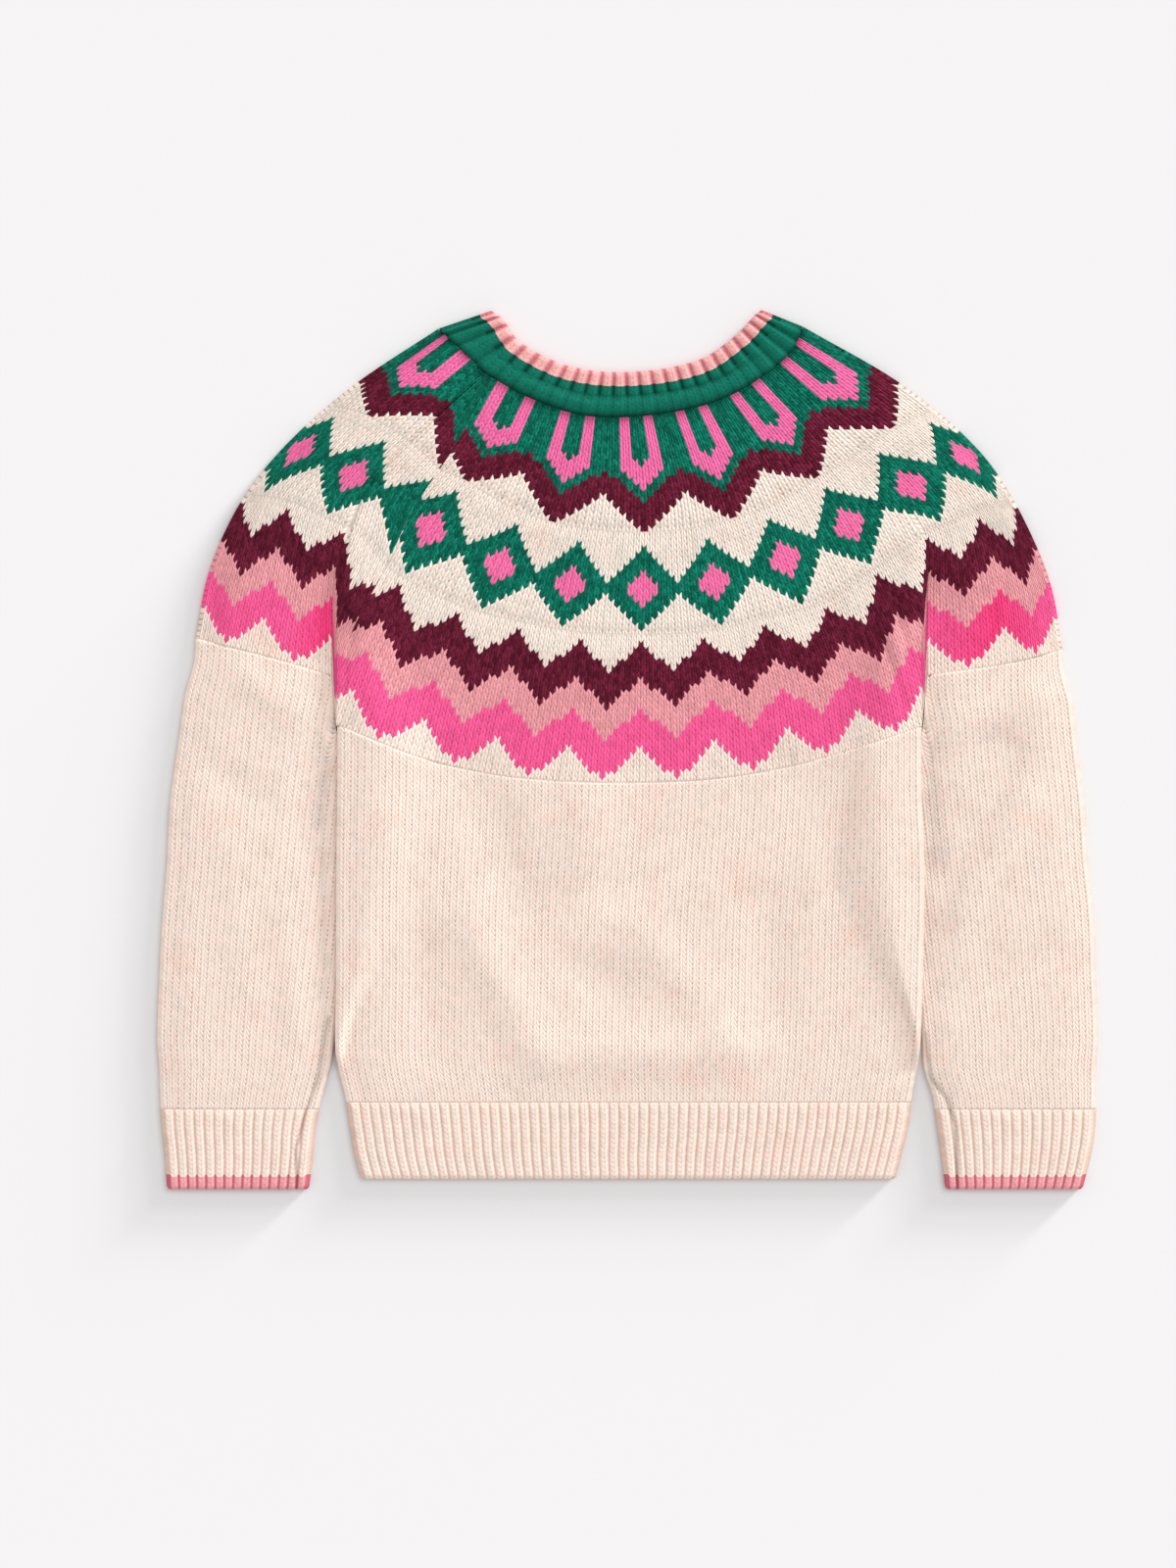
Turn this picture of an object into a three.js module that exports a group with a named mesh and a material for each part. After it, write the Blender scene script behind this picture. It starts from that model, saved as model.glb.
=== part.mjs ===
import * as THREE from 'three';

// Fair isle jumper for a child, laid flat on a surface with its back up, in millimetres.
// +X is to the right seen from above, +Y towards the neck, +Z up; the surface is z = 0.
// Every piece is a knitted wall. The body and each sleeve are tubes pressed flat, so the front
// layer lies on the surface, the back layer on it, and the body's sides lie over the sleeves.

const WALL = 2.0;                      // knitted cloth
const GAP = 0.3;                       // between layers that lie on each other, and at seams
const SEAM = 0.35;                     // seam gap measured along Y, where the seam runs at a slant
const STACK = 2 * WALL + GAP;          // a tube pressed flat
const MIDDLE = STACK / 2;
const OUTER = STACK / 2;               // outer and inner radius of the wall at a fold
const INNER = GAP / 2;
const LIFT = STACK + GAP;              // how much higher the body lies where it covers a sleeve
const LIFT_FALL = 17;                  // width in which it comes down again

const YOKE_ROWS = 60;                  // knitted rows from the neck seam to the body
const FRONT_DROP = 22;                 // the front neck is this much lower than the back neck
const JOIN_SPOKE = 4.6;                // where the knitted strip of the yoke is joined, left back
const JOIN_SLIT = 0.006;               // half of the slit there, in spokes
const HEM_TOP = -210.3;
const HEM_END = -255.8;
const CUFF_TOP = -214.4;
const CUFF_END = -262;
const RIB_HEIGHT = 0.7;
const HEM_RIBS = 56;                   // across the back
const CUFF_RIBS = 15;                  // across one side
const NECK_RIBS = 26;                  // across the back
const NECK_RIDGE = 1.1;                // the smooth roll of the neckband above its seam

// Spokes of the yoke: 28 repeats of the lowest band lie round it, 7 on each half of the back.
// A row is one spoke, with its place at the neck seam and after 14, 28, 37, 48 and 60 rows.
const LEVELS = [0, 14, 28, 37, 48, 60];
const BODY_SPOKES = [
  // spoke   neck            row 14          row 28          row 37          row 48          row 60
  [-5, [-84, 223.7], [-104, 183.5], [-147.3, 151.4], [-166.5, 121.6], [-191, 79.6], [-215, 30.6]],
  [-4, [-65.6, 212.6], [-86, 174.7], [-117, 132.1], [-135, 98.9], [-154.3, 58.6], [-171.5, 13.5]],
  [-3, [-47, 204.5], [-63.9, 161.9], [-86, 114.6], [-100.6, 82], [-114.6, 41.7], [-126.3, -4.4]],
  [-2, [-29.5, 199.2], [-40, 153.1], [-55.1, 103], [-64.5, 72.6], [-72.6, 31.2], [-82, -14.9]],
  [-1, [-12, 197.5], [-14.9, 149], [-23.6, 97.7], [-27.7, 66.2], [-32.4, 25.4], [-37.6, -19.5]],
  [0, [5, 198], [9.6, 147.9], [9, 96], [7.9, 65], [7.3, 24.8], [6.7, -20.1]],
  [1, [21.3, 199.8], [34.7, 150.2], [40.5, 98.3], [44.6, 66.8], [49.9, 30], [52.2, -17.8]],
  [2, [37.6, 202.7], [56.9, 154.9], [72.6, 106.5], [80.8, 74.4], [91.3, 37], [97.7, -10.2]],
  [3, [54, 207.4], [80.8, 163.6], [103, 118.7], [117.5, 84.9], [132.1, 46.4], [139.7, 1.5]],
  [4, [69.7, 215], [101.8, 176.5], [131, 134.5], [147.3, 104.7], [167.1, 61.5], [180.5, 15.5]],
  [5, [84.9, 224.9], [120.5, 188.7], [159, 152.5], [177.6, 124], [206.8, 79.6], [222.5, 30.6]],
];
const SLEEVE_SPOKES_LEFT = [
  [-7, [-112.9, 250.5], [-161.9, 217.9], [-202.1, 182.9], [-229.5, 149], [-248.8, 107.6], [-257.5, 65.6]],
  [-6, [-103.5, 241.8], [-139.7, 211.5], [-178.8, 172.4], [-201.5, 143.8], [-211.5, 101.2], [-220.8, 56.3]],
  [-5, [-85, 224.6], [-116.9, 196.9], [-154.3, 159], [-170, 129.8], [-175.6, 91.9], [-176.2, 43.5]],
];
const SLEEVE_SPOKES_RIGHT = [
  [5, [84.9, 224.9], [120.5, 188.7], [159, 152.5], [177.6, 126.3], [178.2, 89], [178.2, 43.5]],
  [6, [97.7, 237.1], [142, 203.9], [185.2, 167.7], [208, 138], [220.8, 96], [225.5, 50.5]],
  [7, [104.7, 251.7], [163.6, 217.3], [208, 179.4], [231.3, 146.1], [251.1, 101.2], [259.3, 59.2]],
];
// The pleat at each armhole: the spoke at which the body's edge folds under, for some rows.
const PLEAT = { rows: [0, 28, 37, 48, 60], left: [4.9, 4.9, 4.9, 4.5, 4.03], right: [4.9, 4.9, 4.87, 4.2, 3.86] };
const SPOKE_WIDTH = 41;                // width of a spoke at the body's edge
// Tip of the neckband, for some spokes.
const NECK_TIP = [
  // spoke  x     y
  [-7, -80.2, 261.6], [-6, -72.5, 254], [-5, -63.9, 242.4], [-3, -35.3, 228.4], [0, 2.6, 224.9],
  [3, 42.3, 231.9], [5, 65, 247], [6, 73.2, 255.8], [7, 79, 262],
];
// Side edges of the body, and the outer and inner edges of the sleeves, for heights y.
const BODY_SIDES = [
  // y     left     right
  [30, -173.5, 175.2], [-20, -173.5, 175.2], [-57, -173.5, 177], [-137, -173.5, 175.5], [-176, -174, 174],
  [-190, -172.4, 172.4], [-207, -168.3, 169.5], [-225, -165.4, 167], [-242, -162.5, 163], [-256, -158.5, 159.5],
];
const SLEEVE_LEFT = [
  // y     outer    inner
  [66, -257.5, -151], [38, -262.8, -151], [2.6, -268, -153.1], [-32, -272.7, -157.2], [-67, -274.5, -161.5],
  [-102, -277.4, -165.4], [-137, -279.1, -169.5], [-172, -280.3, -174.1], [-190, -279.1, -177],
  [-207, -278.6, -181.7], [-225, -277.4, -185.8], [-242, -275.6, -187.5], [-262, -274.4, -189.9],
];
const SLEEVE_RIGHT = [
  [60, 259.3, 153], [38, 264, 153], [2.6, 268, 155.5], [-32, 272.1, 158.4], [-67, 274.5, 162.5],
  [-102, 278, 166.5], [-137, 279.1, 171.2], [-172, 280.3, 175.3], [-190, 279.1, 176.5],
  [-207, 279.1, 181.7], [-225, 278.6, 184.6], [-242, 276, 187], [-262, 271, 189.3],
];
// Top edge of a sleeve: share of the way from the outer to the inner edge, then the spoke of the
// yoke that it is sewn to. Its last stretch lies hidden under the body.
const SLEEVE_TOP = { shares: [0, 0.17, 0.35, 0.55, 0.76], spokes: [7, 6.5, 6, 5.5, 5] };
const TUCK = { shares: [0.8, 1], inward: [2.6, 24.2], y: [9.6, 0.3] };

const clamp01 = (t) => Math.min(Math.max(t, 0), 1);
const mix = (a, b, t) => a + (b - a) * t;
const ease = (a, b, t) => {
  const s = clamp01((t - a) / (b - a));
  return s * s * (3 - 2 * s);
};

// Smooth curve through values given at rising or falling keys.
function through(keys, values, t) {
  const rising = keys[1] > keys[0] ? 1 : -1;
  const last = keys.length - 1;
  let i = 0;
  while (i < last - 1 && (t - keys[i + 1]) * rising > 0) i += 1;
  const slope = (j) => {
    const a = Math.max(j - 1, 0);
    const b = Math.min(j + 1, last);
    return (values[b] - values[a]) / (keys[b] - keys[a]);
  };
  const h = keys[i + 1] - keys[i];
  const s = (t - keys[i]) / h;
  const s2 = s * s;
  const s3 = s2 * s;
  return (2 * s3 - 3 * s2 + 1) * values[i] + (s3 - 2 * s2 + s) * h * slope(i)
    + (3 * s2 - 2 * s3) * values[i + 1] + (s3 - s2) * h * slope(i + 1);
}

const column = (table, index) => table.map((row) => row[index]);
const lookUp = (table, index, t) => through(column(table, 0), column(table, index), t);

// Place on the yoke, spoke by row, on one of the tables of spokes.
function onSpokes(table, spoke, row) {
  const axis = (k) => table.map((line) => through(LEVELS, line.slice(1).map((p) => p[k]), row));
  const keys = column(table, 0);
  return [through(keys, axis(0), spoke), through(keys, axis(1), spoke)];
}

const bodyPlace = (spoke, row) => onSpokes(BODY_SPOKES, spoke, row);
const sleeveTable = (spoke) => (spoke < 0 ? SLEEVE_SPOKES_LEFT : SLEEVE_SPOKES_RIGHT);
const pleatSpoke = (side, row) => (side < 0
  ? -through(PLEAT.rows, PLEAT.left, row)
  : through(PLEAT.rows, PLEAT.right, row));

// Unit vector that points away from the cloth at the shoulder fold, square to the outline.
function shoulderOut(side, row) {
  const step = 2;
  const a = onSpokes(sleeveTable(side), 7 * side, Math.max(row - step, 0));
  const b = onSpokes(sleeveTable(side), 7 * side, Math.min(row + step, YOKE_ROWS));
  const length = Math.hypot(b[0] - a[0], b[1] - a[1]);
  return [side * (a[1] - b[1]) / length, side * (b[0] - a[0]) / length];
}

// On the sleeve side of the yoke the table gives the outline at spoke 7, so the middle of the
// fold lies one outer radius inside it.
function sleevePlace(spoke, row) {
  const side = Math.sign(spoke);
  const [x, y] = onSpokes(sleeveTable(spoke), spoke, row);
  const out = shoulderOut(side, row);
  const inset = OUTER * clamp01((Math.abs(spoke) - 6.5) / 0.5);
  return [x - out[0] * inset, y - out[1] * inset];
}

const frontDrop = (spoke, row) => FRONT_DROP * (1 - row / YOKE_ROWS) ** 2 * Math.cos(Math.PI * spoke / 14) ** 2;

// Height by which the back of the yoke rises towards the body's edge, over the pleat.
function yokeLift(spoke, row) {
  const depth = 30;
  const edge = Math.abs(pleatSpoke(spoke, row));
  const inside = (edge - Math.abs(spoke)) * SPOKE_WIDTH;
  const grown = ease(depth, YOKE_ROWS - 6, row);
  const flat = 21 * clamp01((row - depth) / (YOKE_ROWS - depth));
  return LIFT * grown * (1 - ease(flat, flat + LIFT_FALL, inside));
}

// Height by which the body rises where it lies over a sleeve's inner edge.
function bodyLift(x, y) {
  const fall = mix(4.5, LIFT_FALL, ease(-176, -60, y));
  const start = mix(3, 7, ease(-176, -120, y));
  const over = (beyond) => ease(-start - fall, -start, beyond);
  const left = over(lookUp(SLEEVE_LEFT, 2, y) - x);
  const right = over(x - lookUp(SLEEVE_RIGHT, 2, y));
  return LIFT * Math.max(left, right);
}

// One station of a wall: for each row a point of the middle sheet, the way out of the fold and
// the angle round it. An angle of 0 is the back layer, facing up, and pi the front layer.
function station(rows, angle, options = {}) {
  const half = options.half;
  const place = (radius, relief) => (row) => {
    const reach = (radius + relief * (row.relief ?? 0)) * Math.sin(angle);
    let height = (radius + relief * (row.relief ?? 0)) * Math.cos(angle);
    if (half === 'back') height = Math.max(height, GAP / 2);
    if (half === 'front') height = Math.min(height, -GAP / 2);
    const lift = row.lift ?? 0;
    return [row.x + row.out[0] * reach, row.y + row.out[1] * reach, MIDDLE + height + lift];
  };
  return { outer: rows.map(place(OUTER, 1)), inner: rows.map(place(INNER, 0)) };
}

// Closed wall through stations, each a line of outer and a line of inner points.
function wall(stations, closed) {
  const rows = stations[0].outer.length;
  const positions = [];
  for (const s of stations) {
    for (const p of [...s.outer, ...s.inner]) positions.push(...p);
  }
  const faces = [];
  const quad = (a, b, c, d) => faces.push(a, b, c, a, c, d);
  const outer = (i, j) => i * 2 * rows + j;
  const inner = (i, j) => outer(i, j) + rows;
  const spans = closed ? stations.length : stations.length - 1;
  for (let i = 0; i < spans; i += 1) {
    const n = (i + 1) % stations.length;
    for (let j = 0; j < rows - 1; j += 1) {
      quad(outer(i, j), outer(i, j + 1), outer(n, j + 1), outer(n, j));
      quad(inner(i, j), inner(n, j), inner(n, j + 1), inner(i, j + 1));
    }
    quad(outer(i, 0), outer(n, 0), inner(n, 0), inner(i, 0));
    const end = rows - 1;
    quad(outer(i, end), inner(i, end), inner(n, end), outer(n, end));
  }
  if (!closed) {
    const last = stations.length - 1;
    for (let j = 0; j < rows - 1; j += 1) {
      quad(outer(0, j), inner(0, j), inner(0, j + 1), outer(0, j + 1));
      quad(outer(last, j), outer(last, j + 1), inner(last, j + 1), inner(last, j));
    }
  }
  if (volume(positions, faces) < 0) faces.reverse();
  const geometry = new THREE.BufferGeometry();
  geometry.setAttribute('position', new THREE.Float32BufferAttribute(positions, 3));
  geometry.setIndex(faces);
  geometry.computeVertexNormals();
  return geometry;
}

function volume(positions, faces) {
  const corner = (i) => new THREE.Vector3().fromArray(positions, i * 3);
  let sum = 0;
  for (let f = 0; f < faces.length; f += 3) {
    const [a, b, c] = [corner(faces[f]), corner(faces[f + 1]), corner(faces[f + 2])];
    sum += a.dot(b.cross(c));
  }
  return sum / 6;
}

const steps = (count) => Array.from({ length: count + 1 }, (_, i) => i / count);
const FOLD = [Math.PI / 4, Math.PI / 2, 3 * Math.PI / 4];

// Yoke: one knitted strip round the shoulders. It starts and ends at its join on the left back.
function yoke() {
  const rows = [0, 7, 14, 28, 33, 37, 43, 48, 54, 60];
  const join = (row) => Math.min(JOIN_SPOKE, -pleatSpoke(-1, row) - 0.12);
  const still = [0, 0];
  const make = (placeRow, angle) => station(rows.map(placeRow), angle);
  const onBody = (spokeAt, lying) => make((row) => {
    const spoke = spokeAt(row);
    const [x, y] = bodyPlace(spoke, row);
    return lying === 'back'
      ? { x, y, lift: yokeLift(spoke, row), out: still }
      : { x, y: y - frontDrop(spoke, row), out: still };
  }, lying === 'back' ? 0 : Math.PI);
  const onSleeve = (spoke, angle) => make((row) => {
    const [x, y] = sleevePlace(spoke, row);
    const low = angle > Math.PI / 2 ? frontDrop(spoke, row) : 0;
    return { x, y: y - low, out: shoulderOut(Math.sign(spoke), row) };
  }, angle);
  const backColumns = 34;
  const frontColumns = 14;
  const sleeveSpokes = [5, 5.4, 5.8, 6.2, 6.6, 7];
  const list = [];
  for (const t of steps(backColumns)) {
    list.push(onBody((row) => mix(-join(row) + JOIN_SLIT, pleatSpoke(1, row), t), 'back'));
  }
  for (const s of sleeveSpokes) list.push(onSleeve(s, 0));
  for (const a of FOLD) list.push(onSleeve(7, a));
  for (const s of [...sleeveSpokes].reverse()) list.push(onSleeve(s, Math.PI));
  for (const t of steps(frontColumns)) {
    list.push(onBody((row) => mix(pleatSpoke(1, row), pleatSpoke(-1, row), t), 'front'));
  }
  for (const s of sleeveSpokes) list.push(onSleeve(-s, Math.PI));
  for (const a of [...FOLD].reverse()) list.push(onSleeve(-7, a));
  for (const s of [...sleeveSpokes].reverse()) list.push(onSleeve(-s, 0));
  list.push(onBody((row) => pleatSpoke(-1, row), 'back'));
  list.push(onBody((row) => -join(row) - JOIN_SLIT, 'back'));
  return wall(list, false);
}

// Neckband: a ring of ribs with a smooth roll above the seam, in two layers at the neck points.
function neckband() {
  const tipAt = (spoke) => [lookUp(NECK_TIP, 1, spoke), lookUp(NECK_TIP, 2, spoke)];
  const across = [
    // share of the way from the seam to the tip, share of the roll, share of the ribs
    [0, 0, 0.3], [0.12, 1, 0], [0.27, 1, 0], [0.38, 0, 1], [1, 0, 1],
  ];
  const seam = (spoke) => (Math.abs(spoke) > 5 ? sleevePlace(spoke, 0) : bodyPlace(spoke, 0));
  const outAt = (side) => {
    const a = onSpokes(sleeveTable(side), 7 * side, 0);
    const b = tipAt(7 * side);
    const length = Math.hypot(b[0] - a[0], b[1] - a[1]);
    return [side * (b[1] - a[1]) / length, side * (a[0] - b[0]) / length];
  };
  const make = (spoke, angle, rib) => {
    const side = Math.sign(spoke) || 1;
    const out = outAt(side);
    const inset = OUTER * clamp01((Math.abs(spoke) - 6.5) / 0.5);
    const foot = seam(spoke);
    const tip = tipAt(spoke);
    const top = [tip[0] - out[0] * inset, tip[1] - out[1] * inset];
    const length = Math.hypot(top[0] - foot[0], top[1] - foot[1]);
    const low = angle > Math.PI / 2 ? frontDrop(spoke, 0) : 0;
    const smooth = 1 - ease(3.5, 6, Math.abs(spoke));
    const upper = angle === 0 ? 1 : 0;
    const rows = across.map(([share, roll, ribbed]) => {
      const t = mix(SEAM / length, 1, share);
      const raised = roll * NECK_RIDGE * smooth + rib * RIB_HEIGHT * Math.max(ribbed, 1 - smooth);
      return { x: mix(foot[0], top[0], t), y: mix(foot[1], top[1], t) - low, relief: raised * upper, out };
    });
    return station(rows, angle);
  };
  const list = [];
  for (let i = 0; i <= 2 * NECK_RIBS; i += 1) list.push(make(mix(-7, 7, i / (2 * NECK_RIBS)), 0, i % 2));
  for (const a of FOLD) list.push(make(7, a, 0));
  for (const t of steps(16)) list.push(make(mix(7, -7, t), Math.PI, 0));
  for (const a of [...FOLD].reverse()) list.push(make(-7, a, 0));
  return wall(list, true);
}

// Front or back of the body, from the yoke down to the hem rib, rounded at its side seams.
function bodyPanel(half) {
  const shares = steps(10);
  const place = (across, down) => {
    const side = Math.sign(across) || 1;
    const spoke = across * (Math.abs(pleatSpoke(side, YOKE_ROWS)) - OUTER / SPOKE_WIDTH);
    const [topX, topY] = bodyPlace(spoke, YOKE_ROWS);
    const y = mix(topY - SEAM, HEM_TOP, down);
    const left = lookUp(BODY_SIDES, 1, y) + OUTER;
    const right = lookUp(BODY_SIDES, 2, y) - OUTER;
    const straight = mix(left, right, (across + 1) / 2);
    const x = mix(Math.min(Math.max(topX, left), right), straight, ease(0, 0.5, down));
    return { x, y, lift: bodyLift(x, y), out: [side, 0] };
  };
  const column = (across, angle) => station(shares.map((d) => place(across, d)), angle, { half });
  const turn = half === 'back' ? (a) => a : (a) => Math.PI - a;
  const edge = [Math.PI / 2, Math.PI / 4];
  const list = edge.map((a) => column(-1, turn(a)));
  for (const t of [0, 0.03, 0.06, 0.09, 0.13, ...steps(12).slice(2, 11), 0.87, 0.91, 0.94, 0.97, 1]) {
    list.push(column(2 * t - 1, turn(0)));
  }
  list.push(...[...edge].reverse().map((a) => column(1, turn(a))));
  return wall(list, false);
}

// Tube pressed flat between two edges, with ribs raised on its upper layer if it has any.
function flatTube(place, ribs, plain) {
  const list = [];
  const backSteps = ribs ? 2 * ribs : plain;
  for (let i = 0; i <= backSteps; i += 1) {
    const raised = ribs ? (i % 2) * RIB_HEIGHT : 0;
    list.push(station(place(i / backSteps, raised), 0));
  }
  for (const a of FOLD) list.push(station(place(1, 0), a));
  for (const t of steps(plain)) list.push(station(place(1 - t, 0), Math.PI));
  for (const a of [...FOLD].reverse()) list.push(station(place(0, 0), a));
  return wall(list, true);
}

// Sleeve from the yoke to its cuff. Its top edge follows the yoke, then tucks under the body.
function sleeve(side) {
  const table = side < 0 ? SLEEVE_LEFT : SLEEVE_RIGHT;
  const inward = (edge) => -side * edge;
  const top = (share) => {
    if (share <= SLEEVE_TOP.shares.at(-1)) {
      const spoke = side * through(SLEEVE_TOP.shares, SLEEVE_TOP.spokes, share);
      const [x, y] = sleevePlace(spoke, YOKE_ROWS);
      return [x, y - SEAM];
    }
    const corner = sleevePlace(side * 5, YOKE_ROWS);
    const t = clamp01((share - TUCK.shares[0]) / (TUCK.shares[1] - TUCK.shares[0]));
    return [corner[0] + inward(mix(TUCK.inward[0], TUCK.inward[1], t)), mix(TUCK.y[0], TUCK.y[1], t)];
  };
  const place = (share) => steps(9).map((down) => {
    const [topX, topY] = top(share);
    const y = mix(topY, CUFF_TOP, down);
    const outer = lookUp(table, 1, y) - side * OUTER;
    const inner = lookUp(table, 2, y) + side * OUTER;
    const x = mix(topX, mix(outer, inner, share), ease(0, 0.12, down));
    return { x, y, out: [share < 0.5 ? side : -side, 0] };
  });
  const shares = [0, 0.17, 0.35, 0.55, 0.76, 0.8, 0.9, 1];
  const list = shares.map((s) => station(place(s), 0));
  for (const a of FOLD) list.push(station(place(1), a));
  for (const s of [...shares].reverse()) list.push(station(place(s), Math.PI));
  for (const a of [...FOLD].reverse()) list.push(station(place(0), a));
  return wall(list, true);
}

function band(leftEdge, rightEdge, top, end, ribs) {
  const shares = [0, 0.12, 0.5, 1];
  return flatTube((across, raised) => shares.map((down) => {
    const y = mix(top - SEAM, end, down);
    const x = mix(leftEdge(y) + OUTER, rightEdge(y) - OUTER, across);
    const relief = raised * ease(0, 0.12, down);
    return { x, y, relief, out: [across < 0.5 ? -1 : 1, 0] };
  }), ribs, 12);
}

const hem = () => band((y) => lookUp(BODY_SIDES, 1, y), (y) => lookUp(BODY_SIDES, 2, y), HEM_TOP, HEM_END, HEM_RIBS);
const cuffLeft = () => band((y) => lookUp(SLEEVE_LEFT, 1, y), (y) => lookUp(SLEEVE_LEFT, 2, y), CUFF_TOP, CUFF_END, CUFF_RIBS);
const cuffRight = () => band((y) => lookUp(SLEEVE_RIGHT, 2, y), (y) => lookUp(SLEEVE_RIGHT, 1, y), CUFF_TOP, CUFF_END, CUFF_RIBS);

const cream = () => new THREE.MeshStandardMaterial({ color: 0xeddacc, roughness: 0.95, metalness: 0 });
const green = () => new THREE.MeshStandardMaterial({ color: 0x116c59, roughness: 0.95, metalness: 0 });

function piece(name, geometry, material) {
  const mesh = new THREE.Mesh(geometry, material);
  mesh.name = name;
  return mesh;
}

const jumper = new THREE.Group();
jumper.add(piece('yoke', yoke(), cream()));
jumper.add(piece('neckband', neckband(), green()));
jumper.add(piece('back', bodyPanel('back'), cream()));
jumper.add(piece('front', bodyPanel('front'), cream()));
jumper.add(piece('hem_rib', hem(), cream()));
jumper.add(piece('sleeve_left', sleeve(-1), cream()));
jumper.add(piece('sleeve_right', sleeve(1), cream()));
jumper.add(piece('cuff_left', cuffLeft(), cream()));
jumper.add(piece('cuff_right', cuffRight(), cream()));

export default jumper;
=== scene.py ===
import math

import bmesh
import bpy
import numpy as np
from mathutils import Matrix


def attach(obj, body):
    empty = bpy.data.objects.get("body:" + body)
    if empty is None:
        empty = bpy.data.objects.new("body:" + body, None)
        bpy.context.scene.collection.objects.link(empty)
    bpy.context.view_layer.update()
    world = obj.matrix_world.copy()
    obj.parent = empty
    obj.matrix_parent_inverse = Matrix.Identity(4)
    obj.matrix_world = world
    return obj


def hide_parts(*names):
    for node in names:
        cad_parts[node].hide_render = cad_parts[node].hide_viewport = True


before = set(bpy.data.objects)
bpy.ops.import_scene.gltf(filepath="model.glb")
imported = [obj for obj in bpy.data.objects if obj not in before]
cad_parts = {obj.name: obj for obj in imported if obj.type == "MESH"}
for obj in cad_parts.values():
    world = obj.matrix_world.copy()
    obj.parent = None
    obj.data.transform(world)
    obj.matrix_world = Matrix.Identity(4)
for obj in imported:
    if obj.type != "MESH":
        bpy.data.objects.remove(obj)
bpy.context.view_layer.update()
bpy.ops.object.select_all(action="DESELECT")

# The jumper lies flat with its back up. Sizes are in millimetres, and MM turns them into metres.
MM = 0.001
WALL = 2.0
GAP = 0.3
STACK = 2 * WALL + GAP
MIDDLE = STACK / 2
OUTER = STACK / 2
INNER = GAP / 2
LIFT = STACK + GAP
LIFT_FALL = 17
BACK_FALL = 40
DOME = 2.0
EDGE_ROUND = 13
FAR = 200                 # farther than any edge counts
YOKE_ROWS = 60
FRONT_DROP = 22
HEM_TOP = -210.3
HEM_END = -255.8
CUFF_TOP = -214.4
CUFF_END = -262.0
HEM_RIBS = 56
CUFF_RIBS = 15
NECK_RIBS = 25
NECK_TIP_WIDTH = 8.8
CUFF_TIP_WIDTH = 7.6

# Knit gauge: the height of a row, and the rows of the yoke where stitches are taken in.
BODY_STITCHES = 88
SLEEVE_STITCHES = 26
ROW = 2.86
FIRST_DECREASE = 19
SECOND_DECREASE = 36

# Places of the yoke's spokes at the neck seam and after 14, 28, 37, 48 and 60 rows.
LEVELS = [0, 14, 28, 37, 48, 60]
BODY_SPOKES = [
    # spoke   neck            row 14          row 28          row 37          row 48          row 60
    (-5, (-83.7, 223.7), (-110.5, 182.3), (-141.5, 152.5), (-166, 117.5), (-191, 72.6), (-215, 30.6)),
    (-4, (-65.6, 212.6), (-86, 174.7), (-117, 132.1), (-135, 98.9), (-154.3, 58.6), (-171.5, 13.5)),
    (-3, (-47, 204.5), (-63.9, 161.9), (-86, 114.6), (-100.6, 82), (-114.6, 41.7), (-126.3, -4.4)),
    (-2, (-29.5, 199.2), (-40, 153.1), (-55.1, 103), (-64.5, 72.6), (-72.6, 31.2), (-82, -14.9)),
    (-1, (-12, 197.5), (-14.9, 149), (-23.6, 97.7), (-27.7, 66.2), (-32.4, 25.4), (-37.6, -19.5)),
    (0, (5, 198), (9.6, 147.9), (9, 96), (7.9, 65), (7.3, 24.8), (6.7, -20.1)),
    (1, (21.3, 199.8), (34.7, 150.2), (40.5, 98.3), (44.6, 66.8), (49.9, 30), (52.2, -17.8)),
    (2, (37.6, 202.7), (56.9, 154.9), (72.6, 106.5), (80.8, 74.4), (91.3, 37), (97.7, -10.2)),
    (3, (54, 207.4), (80.8, 163.6), (103, 118.7), (117.5, 84.9), (132.1, 46.4), (139.7, 1.5)),
    (4, (69.7, 215), (101.8, 176.5), (131, 134.5), (147.3, 104.7), (167.1, 61.5), (180.5, 15.5)),
    (5, (84.9, 224.9), (120.5, 188.7), (159, 152.5), (177.6, 124), (206.8, 79.6), (222.5, 30.6)),
]
LEFT_SPOKES = [
    (-7, (-112.9, 250.5), (-161.9, 217.9), (-202.1, 182.9), (-229.5, 149), (-248.8, 107.6), (-257.5, 65.6)),
    (-6, (-103.5, 241.8), (-139.7, 211.5), (-178.8, 172.4), (-201.5, 143.8), (-211.5, 101.2), (-220.8, 56.3)),
    (-5, (-85, 224.6), (-116.9, 196.9), (-154.3, 159), (-170, 129.8), (-175.6, 91.9), (-176.2, 43.5)),
]
RIGHT_SPOKES = [
    (5, (84.9, 224.9), (120.5, 188.7), (159, 152.5), (177.6, 126.3), (178.2, 89), (178.2, 43.5)),
    (6, (97.7, 237.1), (142, 203.9), (185.2, 167.7), (208, 138), (220.8, 96), (225.5, 50.5)),
    (7, (104.7, 251.7), (163.6, 217.3), (208, 179.4), (231.3, 146.1), (251.1, 101.2), (259.3, 59.2)),
]
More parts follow.
